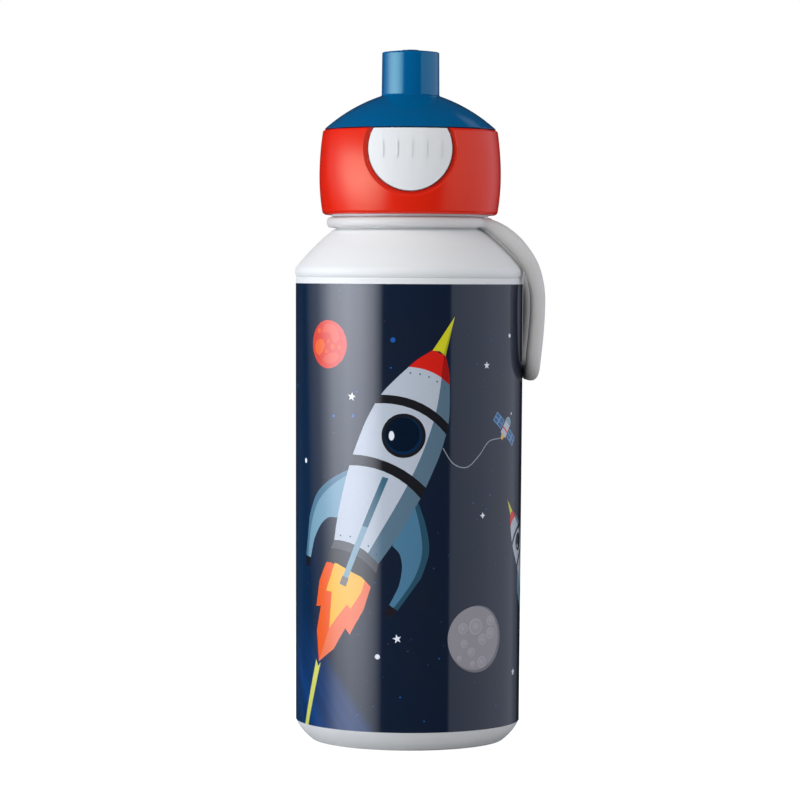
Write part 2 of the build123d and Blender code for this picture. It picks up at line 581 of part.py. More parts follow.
# ---------------------------------------------------------------- hood
with BuildPart() as hood:
    with BuildSketch(Plane.XZ):
        with BuildLine():
            foot = (HOOD_R - HOOD_BEVEL[0], HOOD_LOW)
            nozzle_shoulder = (NOZZLE_R, NOZZLE_TOP - NOZZLE_ROUND)
            crown_edge = (NOZZLE_R - NOZZLE_ROUND, NOZZLE_TOP)
            Polyline(foot, (HOOD_R, HOOD_LOW + HOOD_BEVEL[1]), DOME_EDGE)
            ThreePointArc(DOME_EDGE, DOME_MIDDLE, DOME_TOP)
            ThreePointArc(DOME_TOP, NOZZLE_FILLET, NOZZLE_FOOT)
            Line(NOZZLE_FOOT, nozzle_shoulder)
            round_middle = (NOZZLE_R - NOZZLE_ROUND_MIDDLE, NOZZLE_TOP - NOZZLE_ROUND_MIDDLE)
            ThreePointArc(nozzle_shoulder, round_middle, crown_edge)
            ThreePointArc(crown_edge, CROWN_MIDDLE, (0, CROWN_TOP))
            Polyline(
                (0, CROWN_TOP),
                (0, NOZZLE_CEILING),
                (NOZZLE_BORE_R, NOZZLE_CEILING),
                (NOZZLE_BORE_R, NOZZLE_BORE_FOOT),
                DOME_INNER_TOP,
            )
            ThreePointArc(DOME_INNER_TOP, DOME_INNER_MIDDLE, DOME_INNER_EDGE)
            Polyline(DOME_INNER_EDGE, (DOME_INNER_EDGE[0], HOOD_LOW), foot)
        make_face()
    revolve(axis=Axis.Z)
    # skirt that centres the hood inside the collar, only along the two sides
    with BuildSketch(Plane.XY.offset(SKIRT_LOW)):
        Circle(SKIRT_R)
        Circle(SKIRT_R - SKIRT_T, mode=Mode.SUBTRACT)
        Rectangle(2 * SLAB, 2 * SKIRT_HALF_Y, mode=Mode.INTERSECT)
    extrude(amount=HOOD_LOW - SKIRT_LOW + SKIRT_ROOT)
    # tab with the ledge that the catch holds
    with BuildSketch(Plane.YZ):
        with BuildLine():
            Polyline(
                (TAB_Y - TAB_T, TAB_LOW),
                (TAB_Y - TAB_T, TAB_FRONT_TOP),
                (TAB_Y, TAB_BACK_TOP),
                (TAB_Y, TAB_LOW + CATCH_HEIGHT),
                (TAB_Y + CATCH_DEPTH, TAB_LOW + CATCH_HEIGHT),
                (TAB_Y + CATCH_DEPTH, TAB_LOW + CATCH_SLOPE),
                (TAB_Y, TAB_LOW),
                close=True,
            )
        make_face()
    extrude(amount=TAB_HALF, both=True)
    # room round the hinge's ears and spring
    with BuildSketch(Plane.YZ):
        with Locations((HINGE_Y, HINGE_Z)):
            Circle(EAR_R + HINGE_CLEAR)
    extrude(amount=EAR_OUT + HINGE_CLEAR, both=True, mode=Mode.SUBTRACT)
    # knuckles
    for side in (-1, 1):
        with BuildSketch(Plane.YZ.offset(side * (KNUCKLE_IN + KNUCKLE_OUT) / 2)):
            with Locations((HINGE_Y, HINGE_Z)):
                Circle(KNUCKLE_R)
            with BuildLine():
                Polyline(
                    (HINGE_Y, HINGE_Z + KNUCKLE_R),
                    *KNUCKLE_ARM,
                    (HINGE_Y, HINGE_Z),
                    close=True,
                )
            make_face()
        extrude(amount=(KNUCKLE_OUT - KNUCKLE_IN) / 2, both=True)
    with BuildSketch(Plane.YZ):
        with Locations((HINGE_Y, HINGE_Z)):
            Circle(PIN_R + PIN_GAP)
    extrude(amount=SLAB / 2, both=True, mode=Mode.SUBTRACT)
    # small moulding mark on the crown
    with BuildSketch(Plane.XY.offset(CROWN_TOP - MARK_ROOT)):
        Circle(MARK_R)
    extrude(amount=MARK_ROOT + MARK_RISE)
hood.part.label = "hood"
export_step(hood.part, "parts/hood.step")

with BuildPart() as spout_stopper:
    with BuildSketch(Plane.XY.offset(NOZZLE_CEILING - STOPPER_DISC_T)):
        Circle(NOZZLE_BORE_R)
    extrude(amount=STOPPER_DISC_T)
    with BuildSketch(Plane.XY.offset(SPOUT_TOP + STOPPER_GAP)):
        Circle(STOPPER_R)
    extrude(amount=NOZZLE_CEILING - STOPPER_DISC_T - SPOUT_TOP - STOPPER_GAP)
spout_stopper.part.label = "spout_stopper"
export_step(spout_stopper.part, "parts/spout_stopper.step")

with BuildPart() as hinge_pin:
    with BuildSketch(Plane.YZ):
        with Locations((HINGE_Y, HINGE_Z)):
            Circle(PIN_R)
    extrude(amount=PIN_HALF, both=True)
    chamfer(hinge_pin.edges().filter_by(GeomType.CIRCLE), PIN_BEVEL)
hinge_pin.part.label = "hinge_pin"
export_step(hinge_pin.part, "parts/hinge_pin.step")

spring_length = SPRING_PITCH * SPRING_TURNS
spring_helix = Helix(
    pitch=SPRING_PITCH,
    height=spring_length,
    radius=SPRING_COIL_R,
    center=(-spring_length / 2, HINGE_Y, HINGE_Z),
    direction=(1, 0, 0),
)
with BuildPart() as hinge_spring:
    with BuildSketch(Plane(origin=spring_helix @ 0, z_dir=spring_helix % 0)):
        Circle(SPRING_WIRE_R)
    sweep(path=spring_helix, is_frenet=True)
hinge_spring.part.label = "hinge_spring"
export_step(hinge_spring.part, "parts/hinge_spring.step")
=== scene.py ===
"""Looks of the kids water bottle: materials, printed sleeve, carrying strap, light and camera.

Lengths are metres in Blender; the sleeve's artwork and the strap's line are drawn in millimetres.
"""
import json
import math
import random

import bpy
import bmesh
import numpy as np
from mathutils import Matrix, Vector
from mathutils.geometry import delaunay_2d_cdt


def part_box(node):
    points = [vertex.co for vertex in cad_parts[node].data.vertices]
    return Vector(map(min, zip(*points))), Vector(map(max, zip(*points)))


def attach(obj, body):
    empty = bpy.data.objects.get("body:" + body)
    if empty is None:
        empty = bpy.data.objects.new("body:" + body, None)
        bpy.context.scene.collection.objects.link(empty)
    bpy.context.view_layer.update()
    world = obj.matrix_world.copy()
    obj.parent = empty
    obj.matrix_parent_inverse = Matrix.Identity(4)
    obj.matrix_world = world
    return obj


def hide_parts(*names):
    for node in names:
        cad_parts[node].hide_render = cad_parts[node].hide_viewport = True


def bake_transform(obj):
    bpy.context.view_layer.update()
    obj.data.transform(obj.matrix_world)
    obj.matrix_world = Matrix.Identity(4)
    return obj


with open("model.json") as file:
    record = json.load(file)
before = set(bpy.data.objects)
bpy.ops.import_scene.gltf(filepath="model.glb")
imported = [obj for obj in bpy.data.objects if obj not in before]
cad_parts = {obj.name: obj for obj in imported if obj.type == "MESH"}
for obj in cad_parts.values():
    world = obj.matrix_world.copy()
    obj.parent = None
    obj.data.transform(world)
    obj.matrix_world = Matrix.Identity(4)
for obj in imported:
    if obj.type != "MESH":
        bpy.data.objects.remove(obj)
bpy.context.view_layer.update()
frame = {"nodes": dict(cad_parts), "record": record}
nodes = frame["nodes"]
scene = bpy.context.scene
MM = 0.001


# ---------------------------------------------------------------- material helpers
def srgb(red, green, blue):
    """A colour given as 0..255 screen values, in linear light."""
    return tuple(c / 12.92 if c <= 0.04045 else ((c + 0.055) / 1.055) ** 2.4
                 for c in (red / 255, green / 255, blue / 255))


class Shader:
    """A node material with a few short ways to add nodes."""

    def __init__(self, name, color, roughness, **sockets):
        self.material = bpy.data.materials.new(name)
        self.material.use_nodes = True
        self.tree = self.material.node_tree
        self.bsdf = self.tree.nodes["Principled BSDF"]
        self.bsdf.inputs["Base Color"].default_value = (*color, 1)
        self.bsdf.inputs["Roughness"].default_value = roughness
        for socket, value in sockets.items():
            self.bsdf.inputs[socket.replace("_", " ")].default_value = value

    def node(self, kind, **settings):
        """Add a node; settings name its inputs, or its properties where it has no such input."""
        made = self.tree.nodes.new(kind)
        for key, value in settings.items():
            if key in made.inputs.keys():
                made.inputs[key].default_value = value
            else:
                setattr(made, key, value)
        return made

    def link(self, source, target):
        self.tree.links.new(source, target)

    def noise(self, scale, detail=2.0, place="Object"):
        """Noise in object or sleeve coordinates; scale is cycles per unit of those."""
        where = self.node("ShaderNodeTexCoord")
        noise = self.node("ShaderNodeTexNoise", Scale=scale, Detail=detail)
        self.link(where.outputs[place], noise.inputs["Vector"])
        return noise.outputs["Fac"]

    def span(self, value, low, high, out_low, out_high, soft=False):
        """Remap value from low..high to out_low..out_high."""
        made = self.node("ShaderNodeMapRange")
        if soft:
            made.interpolation_type = "SMOOTHSTEP"
        for index, number in enumerate((low, high, out_low, out_high), start=1):
            made.inputs[index].default_value = number
        self.link(value, made.inputs[0])
        return made.outputs[0]

    def math(self, operation, a, b):
        made = self.node("ShaderNodeMath", operation=operation)
        for socket, value in zip(made.inputs, (a, b)):
            if isinstance(value, (int, float)):
                socket.default_value = value
            else:
                self.link(value, socket)
        return made.outputs[0]

    def mix(self, factor, a, b):
        """Mix two colours or colour sockets."""
        made = self.node("ShaderNodeMix", data_type="RGBA")
        if isinstance(factor, (int, float)):
            made.inputs[0].default_value = factor
        else:
            self.link(factor, made.inputs[0])
        for socket, value in ((made.inputs[6], a), (made.inputs[7], b)):
            if isinstance(value, tuple):
                socket.default_value = (*value, 1)
            else:
                self.link(value, socket)
        return made.outputs[2]

    def bump(self, height, strength, distance):
        made = self.node("ShaderNodeBump", Strength=strength, Distance=distance)
        self.link(height, made.inputs["Height"])
        self.link(made.outputs["Normal"], self.bsdf.inputs["Normal"])


DRIFT_SCALE, GLOSS_SCALE, GRAIN_SCALE, GRAIN_DEPTH = 28, 160, 2600, 0.0002


def moulded(name, color, shade, roughness, grain=0.02, **sockets):
    """Injection-moulded plastic: faint colour drift, uneven gloss and a fine grain."""
    made = Shader(name, color, roughness, **sockets)
    drift = made.span(made.noise(DRIFT_SCALE, 3), 0.35, 0.65, 0, 1)
    made.link(made.mix(drift, color, shade), made.bsdf.inputs["Base Color"])
    gloss = made.span(made.noise(GLOSS_SCALE, 3), 0.3, 0.7, roughness * 0.9, roughness * 1.12)
    made.link(gloss, made.bsdf.inputs["Roughness"])
    made.bump(made.noise(GRAIN_SCALE, 2), grain, GRAIN_DEPTH)
    return made.material


def sleeve_print():
    """Glossy printed film: flat inks over a night sky that turns bluer towards one side."""
    made = Shader("sleeve_print", (0.01, 0.02, 0.04), 0.085, IOR=1.52)
    navy, dusk, deep_blue, ray_blue = srgb(20, 33, 54), srgb(24, 34, 50), srgb(12, 56, 96), srgb(24, 66, 124)
    ray_slope, streaks_per_unit = 0.735, 14
    place = made.node("ShaderNodeTexCoord")
    split = made.node("ShaderNodeSeparateXYZ")
    made.link(place.outputs["UV"], split.inputs[0])
    across, up = split.outputs["X"], split.outputs["Y"]

    # the sky: navy, bluer to the left and low down, with slanted rays
    drift = made.span(made.noise(3.2, 4, place="UV"), 0.35, 0.68, 0, 1, soft=True)
    sky = made.mix(drift, navy, dusk)
    leftward = made.span(across, -0.22, -0.50, 0, 1, soft=True)
    low = made.span(up, 1.3, 0.1, 0.3, 1)
    sky = made.mix(made.math("MULTIPLY", leftward, low), sky, deep_blue)
    slant = made.math("ADD", across, made.math("MULTIPLY", up, ray_slope))
    rays = made.math("MULTIPLY", made.span(slant, -0.03, -0.10, 0, 1, soft=True),
                     made.span(slant, -0.40, -0.27, 0.25, 1, soft=True))
    rays = made.math("MULTIPLY", rays, made.span(up, 0.46, 0.12, 0, 1, soft=True))
    streak_noise = made.node("ShaderNodeTexNoise", Scale=1.0, Detail=2.0, noise_dimensions="1D")
    made.link(made.math("MULTIPLY", slant, streaks_per_unit), streak_noise.inputs["W"])
    streaks = made.span(streak_noise.outputs["Fac"], 0.35, 0.65, 0.35, 1)
    sky = made.mix(made.math("MULTIPLY", rays, streaks), sky, ray_blue)

    # the inks drawn on the mesh, and a fine print grain over everything
    ink = made.node("ShaderNodeAttribute", attribute_name="ink")
    is_sky = made.node("ShaderNodeAttribute", attribute_name="is_sky")
    color = made.mix(is_sky.outputs["Fac"], ink.outputs["Color"], sky)
    grain = made.span(made.noise(260, 2, place="UV"), 0.3, 0.7, 0.0, 0.1)
    color = made.mix(grain, color, (0, 0, 0))
    made.link(color, made.bsdf.inputs["Base Color"])
    made.link(made.span(made.noise(7, 3, place="UV"), 0.3, 0.7, 0.075, 0.1), made.bsdf.inputs["Roughness"])
    made.bump(made.noise(34, 2, place="UV"), 0.012, 0.0003)
    return made.material


MATERIALS = {
    "bottle_white": moulded("bottle_white", (0.8, 0.81, 0.797), (0.785, 0.795, 0.782), 0.46, IOR=1.42),
    "insert_white": moulded("insert_white", (0.8, 0.8, 0.8), (0.77, 0.77, 0.775), 0.4),
    "button_white": moulded("button_white", (0.785, 0.795, 0.782), (0.77, 0.78, 0.767), 0.45, IOR=1.42),
    "collar_red": moulded("collar_red", (0.77, 0.017, 0.0045), (0.735, 0.0155, 0.004), 0.21, IOR=1.44,
                          Specular_Tint=(1, 0.93, 0.62, 1)),
    "hood_blue": moulded("hood_blue", (0.0001, 0.112, 0.292), (0.0001, 0.104, 0.272), 0.12, IOR=1.55,
                         Specular_Tint=(0.55, 1, 0.86, 1)),
    "silicone": moulded("silicone", (0.72, 0.75, 0.78), (0.66, 0.70, 0.74), 0.45,
                        Subsurface_Weight=0.3, Subsurface_Scale=0.003),
    "strap_rubber": moulded("strap_rubber", (0.67, 0.66, 0.636), (0.635, 0.624, 0.6), 0.45, grain=0.05),
    "acetal": moulded("acetal", (0.76, 0.76, 0.73), (0.72, 0.72, 0.69), 0.42),
    "steel": moulded("steel", (0.62, 0.62, 0.63), (0.5, 0.5, 0.52), 0.25, Metallic=1.0),
    "sleeve_print": sleeve_print(),
}
for row in frame["record"]["subparts"]:
    skin = nodes[row["node"]].data.materials
    skin.clear()
    skin.append(MATERIALS[row["material_slot"]])


# ---------------------------------------------------------------- outlines, in millimetres
def smooth(points, steps=6, closed=False):
    """A smooth line through the points (Catmull-Rom)."""
    count = len(points)
    line = []
    for i in range(count if closed else count - 1):
        near = [(i + k) % count if closed else min(max(i + k, 0), count - 1) for k in (-1, 0, 1, 2)]
        a, b, c, d = (np.array(points[j], float) for j in near)
        for t in np.arange(steps) / steps:
            line.append(0.5 * (2 * b + (c - a) * t + (2 * a - 5 * b + 4 * c - d) * t**2
                               + (3 * b - a - 3 * c + d) * t**3))
    if not closed:
        line.append(np.array(points[-1], float))
    return [tuple(p) for p in line]


def oval(x, y, rx, ry=None, turn=0.0, sides=40):
    """An ellipse, or a circle where only rx is given."""
    c, s = math.cos(math.radians(turn)), math.sin(math.radians(turn))
    ry = rx if ry is None else ry
    around = [2 * math.pi * k / sides for k in range(sides)]
    return [(x + c * rx * math.cos(a) - s * ry * math.sin(a),
             y + s * rx * math.cos(a) + c * ry * math.sin(a)) for a in around]


def star(x, y, r, points=5, turn=0.0, waist=0.42):
    """A star with its first point up, turned clockwise by turn degrees."""
    corners = []
    for k in range(2 * points):
        a = math.radians(turn) + math.pi * k / points
        reach = r if k % 2 == 0 else r * waist
        corners.append((x + reach * math.sin(a), y + reach * math.cos(a)))
    return corners


def bowed(half_left, half_right, y, rise, steps=10):
    """A line from left to right at height y that bows upwards by rise."""
    return [(-half_left + (half_left + half_right) * t, y + rise * (1 - (2 * t - 1) ** 2))
            for t in np.linspace(0, 1, steps)]


def mirrored(outline):
    return [(-x, y) for x, y in reversed(outline)]


# ---------------------------------------------------------------- the sleeve's artwork
INKS = {
    "white": srgb(236, 240, 246), "hull": srgb(188, 196, 206), "hull_shade": srgb(92, 118, 135),
    "black": srgb(30, 30, 34), "glass": srgb(8, 24, 42), "glass_edge": srgb(10, 42, 74),
    "teal": srgb(62, 104, 124), "pale_teal": srgb(130, 163, 180), "fin": srgb(78, 124, 152),
    "fin_edge": srgb(45, 82, 102), "fin_light": srgb(120, 160, 180), "fin_light_edge": srgb(80, 122, 146),
    "fin_tip": srgb(34, 30, 36), "skirt": srgb(78, 80, 84), "skirt_dark": srgb(44, 44, 48),
    "grey": srgb(120, 116, 112), "red": srgb(220, 36, 26), "red_shade": srgb(168, 26, 24),
    "yellow": srgb(218, 214, 42), "yellow_shade": srgb(176, 178, 34), "orange": srgb(240, 92, 20),
    "salmon": srgb(240, 118, 76), "amber": srgb(244, 184, 54), "lime": srgb(214, 218, 104),
    "planet": srgb(218, 56, 34), "planet_warm": srgb(236, 96, 22), "planet_pink": srgb(224, 84, 56),
    "moon": srgb(149, 145, 150), "moon_light": srgb(166, 161, 166), "moon_pit": srgb(157, 152, 157),
    "moon_dark": srgb(116, 113, 120), "blue_dot": srgb(34, 92, 168), "dim_blue": srgb(36, 66, 108),
    "dim_pink": srgb(84, 58, 76), "panel": srgb(36, 92, 150), "panel_line": srgb(120, 170, 205),
    "gold": srgb(226, 176, 70), "thread": srgb(150, 156, 170),
}
shapes = []          # (ink name, outline on the unrolled sleeve), later ones on top


def draw(ink, outline, at=(0, 0), tilt=0.0, scale=1.0):
    """Add one flat shape; tilt turns it clockwise by degrees about its own origin."""
    c, s = math.cos(math.radians(tilt)), math.sin(math.radians(tilt))
    placed = [(at[0] + scale * (x * c + y * s), at[1] + scale * (y * c - x * s)) for x, y in outline]
    shapes.append((ink, placed))


# the rocket's right side: hull from nose to tail, fin outline, and the lighter part of the fin
HULL_SIDE = [(6.5, 18.8), (8.8, 13.6), (10.7, 8.2), (11.8, 0.5), (11.9, -7.0), (11.6, -15.0), (9.9, -28.0),
             (8.0, -36.8)]
FIN = [(11.2, -15.6), (16.4, -21.4), (20.2, -28.0), (21.0, -35.5), (18.4, -47.4), (15.6, -46.8),
       (16.0, -40.4), (14.8, -35.2), (12.6, -31.8), (9.6, -30.4)]
FIN_INNER = [(10.4, -16.6), (14.9, -22.4), (18.4, -29.0), (19.2, -36.0), (17.9, -43.6), (17.0, -46.9),
             (15.6, -46.8), (16.0, -40.4), (14.8, -35.2), (12.6, -31.8), (9.6, -30.4)]


def hull_edge(height):
    """Half width of the rocket's hull at a height on its axis."""
    side = smooth(HULL_SIDE)
    return float(np.interp(-height, [-y for _, y in side], [x for x, _ in side]))


def hoop(ink, top, bottom, place, rise=2.4):
    """A dark band round the rocket."""
    upper = bowed(hull_edge(top), hull_edge(top), top, rise)
    lower = bowed(hull_edge(bottom) + 0.05, hull_edge(bottom) + 0.05, bottom, rise + 0.5)
    draw(ink, upper + lower[::-1], **place)


def rocket(at, tilt, scale=1.0):
    """A cartoon rocket; its origin is the porthole, and its nose points up."""
    place = {"at": at, "tilt": tilt, "scale": scale}
    for flip, colour, edge in ((mirrored, "fin_light", "fin_light_edge"), (list, "fin", "fin_edge")):
        draw(edge, flip(smooth(FIN[:4]) + FIN[4:6] + smooth(FIN[6:])), **place)
        draw(colour, flip(smooth(FIN_INNER[:6]) + smooth(FIN_INNER[6:])), **place)
        draw("fin_tip", flip([(18.5, -47.0), (15.6, -46.4), (15.2, -49.2), (17.3, -49.9)]), **place)
    draw("orange", [(-8.2, -43.4), (-8.9, -50.4), (-7.3, -58), (-5.4, -57), (-4.3, -64.4), (0.2, -72.4),
                    (4.4, -66), (5.8, -58.6), (7.9, -59.6), (9.1, -51), (8.5, -43.4)], **place)
    draw("salmon", [(5.8, -42.6), (6.3, -47), (5.2, -52.6), (3.6, -52), (1.8, -57), (0.4, -61.4),
                    (0.2, -72.4), (4.4, -66), (5.8, -58.6), (7.9, -59.6), (9.1, -51), (8.5, -43.4)], **place)
    draw("amber", [(-5.2, -42.6), (-5.1, -51.8), (-2.9, -51.1), (0.4, -61.4), (1.8, -57), (3.6, -52),
                   (5.2, -52.6), (6.5, -46.6), (6.1, -42.6)], **place)
    skirt_top, skirt_low = bowed(8.0, 8.0, -36.4, 1.9), bowed(8.4, 8.9, -44.2, 2.2)
    draw("skirt_dark", skirt_top + skirt_low[::-1], **place)
    draw("skirt", skirt_top + bowed(8.2, 8.4, -39.6, 2.0)[::-1], **place)
    side = smooth(HULL_SIDE)
    nose_line, tail_line = bowed(6.5, 6.5, 18.8, 1.3), bowed(8.0, 8.0, -36.8, 1.9)
    draw("hull", nose_line + side + tail_line[::-1] + mirrored(side), **place)
    shade_line = smooth([(3.4, 20.0), (5.9, 10.0), (6.9, 0.0), (6.9, -9.0), (6.1, -19.0), (3.9, -35.4)])
    draw("hull_shade", shade_line + [(8.0, -36.8)] + side[::-1] + [(6.5, 18.8)], **place)
    hoop("black", 8.2, 5.2, place)
    hoop("black", -11.2, -14.6, place)
    cone = [(-6.6, 18.7), (-4.9, 22.0), (-2.1, 25.9)]
    draw("red", bowed(6.6, 6.6, 18.7, 1.3) + smooth(mirrored(cone)[::-1]) + smooth(cone)[::-1], **place)
    draw("red_shade", [(3.4, 19.6), (6.6, 18.7), (4.9, 22.0), (2.1, 25.9), (1.5, 26.1)], **place)
    draw("yellow", [(-2.1, 25.8), (0.0, 26.4), (2.1, 25.8), (0.15, 37.3)], **place)
    draw("yellow_shade", [(1.3, 26.0), (2.1, 25.8), (0.15, 37.3)], **place)
    for height, spread, rise in ((17.3, 5.4, 1.1), (-34.6, 6.4, 1.6)):
        for x, y in bowed(spread, spread, height, rise, steps=5):
            draw("teal", oval(x, y, 0.27, sides=10), **place)
    draw("teal", [(-0.9, -13.3), (0.9, -13.0), (0.9, -28.6), (-0.9, -28.9)], **place)
    draw("pale_teal", [(-0.9, -28.9), (0.9, -28.6), (0.9, -45.0), (-0.9, -45.2)], **place)
    draw("grey", [(-1.15, -45.0), (1.15, -44.8), (1.15, -47.4), (-1.15, -47.6)], **place)
    draw("black", oval(0, 0, 6.4), **place)
    draw("glass_edge", oval(0.0, 0.0, 5.4), **place)
    draw("glass", oval(-0.45, 0.2, 4.95), **place)
    draw("white", oval(-3.2, -1.4, 0.8, 1.35, turn=tilt), **place)


def satellite(at, tilt):
    """A small probe with two solar panels and a dish."""
    place = {"at": at, "tilt": tilt}
    for side in (-1, 1):
        for k in range(2):
            middle = side * (3.1 + 2.3 * k)
            draw("panel_line", [(middle - 1.1, -1.5), (middle + 1.1, -1.5), (middle + 1.1, 1.5),
                                (middle - 1.1, 1.5)], **place)
            for low in (-1.3, 0.1):
                draw("panel", [(middle - 0.9, low), (middle + 0.9, low), (middle + 0.9, low + 1.2),
                               (middle - 0.9, low + 1.2)], **place)
        draw("grey", [(side * 1.4, -0.2), (side * 2.1, -0.2), (side * 2.1, 0.2), (side * 1.4, 0.2)], **place)
    draw("hull", [(-1.5, -2.2), (1.5, -2.2), (1.5, 2.0), (-1.5, 2.0)], **place)
    draw("red", [(-1.5, -0.5), (1.5, -0.5), (1.5, 0.0), (-1.5, 0.0)], **place)
    draw("pale_teal", smooth([(-1.7, 2.0), (-1.3, 3.4), (0, 4.0), (1.3, 3.4), (1.7, 2.0)]), **place)
    draw("gold", [(-0.9, -2.2), (0.9, -2.2), (0.5, -3.6), (-0.5, -3.6)], **place)
    draw("grey", [(-0.15, 3.9), (0.15, 3.9), (0.1, 5.4), (-0.1, 5.4)], **place)
    draw("white", oval(0, 5.6, 0.35, sides=12), **place)


def moon(at, r):
    """A grey moon with a shaded side and ringed craters."""
    draw("moon_dark", oval(0, 0, r, sides=64), at=at)
    draw("moon", oval(-0.055 * r, 0.03 * r, 0.955 * r, sides=64), at=at)
    craters = [(-0.05, 0.38, 0.25), (-0.5, 0.34, 0.17), (0.55, 0.52, 0.16), (0.22, -0.02, 0.17),
               (0.55, 0.14, 0.18), (-0.45, -0.12, 0.13), (-0.2, -0.38, 0.14), (0.2, -0.7, 0.18),
               (-0.62, -0.55, 0.09), (-0.15, -0.74, 0.1)]
    for x, y, size in craters:
        draw("moon_light", oval(x, y, size, sides=20), at=at, scale=r)
        draw("moon_pit", oval(x + 0.012, y - 0.012, size * 0.78, sides=18), at=at, scale=r)
        draw("moon_light", oval(x - 0.01, y + 0.01, size * 0.42, sides=12), at=at, scale=r)


def planet(at, r, main, warm, pale):
    """A small flat planet with rounded patches and spots."""
    draw(main, oval(0, 0, r, sides=48), at=at)
    patches = [(pale, [(-0.1, 0.85), (0.4, 0.7), (0.62, 0.25), (0.3, 0.1), (0.1, 0.45), (-0.35, 0.5)]),
               (warm, [(-0.75, 0.1), (-0.35, 0.2), (-0.2, -0.1), (-0.5, -0.45), (-0.8, -0.3)]),
               (pale, [(0.0, -0.4), (0.5, -0.35), (0.55, -0.6), (0.1, -0.8), (-0.3, -0.65)])]
    for ink, patch in patches:
        draw(ink, smooth(patch, closed=True), at=at, scale=r)
    spots = [(0.25, -0.1, 0.11), (-0.1, -0.3, 0.08), (0.62, -0.12, 0.09), (-0.55, 0.55, 0.1),
             (0.0, 0.12, 0.07)]
    for x, y, size in spots:
        draw(warm, oval(x, y, size, sides=14), at=at, scale=r)


def line_strip(points, width):
    """A thin line of even width along a smooth path."""
    path = np.array(smooth(points, 8))
    along = np.gradient(path, axis=0)
    off = np.stack([-along[:, 1], along[:, 0]], 1) * (width / 2 / np.linalg.norm(along, axis=1))[:, None]
    return [tuple(p) for p in path + off] + [tuple(p) for p in (path - off)[::-1]]


def scattered_dots(rng, count, low, high, edge):
    """Small far stars all over the sky."""
    for _ in range(count):
        at = (rng.uniform(-edge, edge), rng.uniform(low, high))
        ink = rng.choice(("dim_blue", "dim_blue", "dim_pink", "blue_dot"))
        draw(ink, oval(0, 0, rng.uniform(0.12, 0.28), sides=7), at=at)


film_low, film_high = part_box("printed_film")
FILM_LOW, FILM_HIGH = film_low[2] / MM, film_high[2] / MM
FILM_R_LOW, FILM_R_HIGH, FILM_T = 33.2, 33.75, 0.3
FILM_R = 33.5                       # radius that the artwork is unrolled at
SLIT = 0.25                         # half of the gap at the back
EDGE = FILM_R * math.pi - SLIT

SKY_SEED, SKY_DOTS = 7, 230

scattered_dots(random.Random(SKY_SEED), SKY_DOTS, FILM_LOW + 1, FILM_HIGH - 1, EDGE - 1)
for x, y, r, turn in ((-17.2, 102.6, 1.35, 8), (24.5, 111.7, 1.15, 0), (-3.1, 33, 1.35, -12),
                      (40.1, 21.2, 1.25, 0), (-58, 60, 1.4, 10), (-88, 104, 1.3, 0), (71, 118, 1.3, 14),
                      (92, 40, 1.4, 0), (62, 24, 1.2, 5)):
    draw("white", star(x, y, r, turn=turn))
for x, y, r in ((23.4, 68.2, 0.95), (-71, 84, 1.0), (58, 88, 1.0), (-97, 30, 1.0), (99, 96, 0.9)):
    draw("white", star(x, y, r, points=4, waist=0.5))
for x, y, r in ((35.3, 120.2, 0.6), (-37.2, 83.3, 0.75), (-52.6, 128.5, 0.75), (-8.9, 27.7, 0.75),
                (-80, 44, 0.7), (50, 101, 0.6), (84, 77, 0.7), (-65, 118, 0.6), (-49, 40, 0.5)):
    draw("white", oval(x, y, r, sides=16))
for x, y, r in ((-4.7, 119.1, 0.75), (-23.6, 96.9, 0.45), (-16.8, 97.1, 0.5), (-45, 105, 0.5),
                (66, 56, 0.7), (-90, 70, 0.7)):
    draw("blue_dot", oval(x, y, r, sides=14))
planet((-25.9, 117.6), 7.0, "planet", "planet_warm", "planet_pink")
moon((21.6, 32.4), 9.7)
planet((-74, 24), 8.5, "fin", "fin_light", "pale_teal")
planet((76, 98), 6.5, "gold", "amber", "yellow")
moon((-92, 118), 5.5)
TETHER = [(10.0, 88.0), (13.2, 83.5), (17.6, 82.4), (21.8, 85.6), (25.6, 89.6), (30.6, 90.4)]
draw("thread", line_strip(TETHER, 0.28))
draw("lime", [(-31.1, 25.6), (-30.2, 23.6), (-29.0, 24.8), (-35.6, FILM_LOW), (-37.7, FILM_LOW)])
rocket((-1.5, 91.6), 23.2)
rocket((43.9, 59.4), -35, scale=0.42)
rocket((-76, 70), 28, scale=0.5)
rocket((84, 60), -18, scale=0.45)
satellite((33.4, 93.0), 38)


# ---------------------------------------------------------------- the sleeve's mesh
def inside(point, outline):
    """Is the point inside the outline?"""
    x, y = point
    ring = np.asarray(outline)
    x1, y1 = ring[:, 0], ring[:, 1]
    x2, y2 = np.roll(x1, -1), np.roll(y1, -1)
    crosses = (y1 > y) != (y2 > y)
    with np.errstate(divide="ignore", invalid="ignore"):
        at = x1 + (y - y1) * (x2 - x1) / (y2 - y1)
    return np.count_nonzero(crosses & (x < at)) % 2 == 1


def clipped(outline):
    """Keep an outline on the sleeve."""
    return [(min(max(x, -EDGE), EDGE), min(max(y, FILM_LOW), FILM_HIGH)) for x, y in outline]


def wrapped(u, z, inset=0.0):
    """A point of the unrolled sleeve on the tapered wall, in metres."""
    share = (z - FILM_LOW) / (FILM_HIGH - FILM_LOW)
    r = FILM_R_LOW + share * (FILM_R_HIGH - FILM_R_LOW) - inset
    return Vector((r * math.sin(u / FILM_R), -r * math.cos(u / FILM_R), z)) * MM


SLEEVE_COLUMNS = 180                # about 2 degrees each
UV_UNIT = 100                       # millimetres of sleeve in one unit of its coordinates


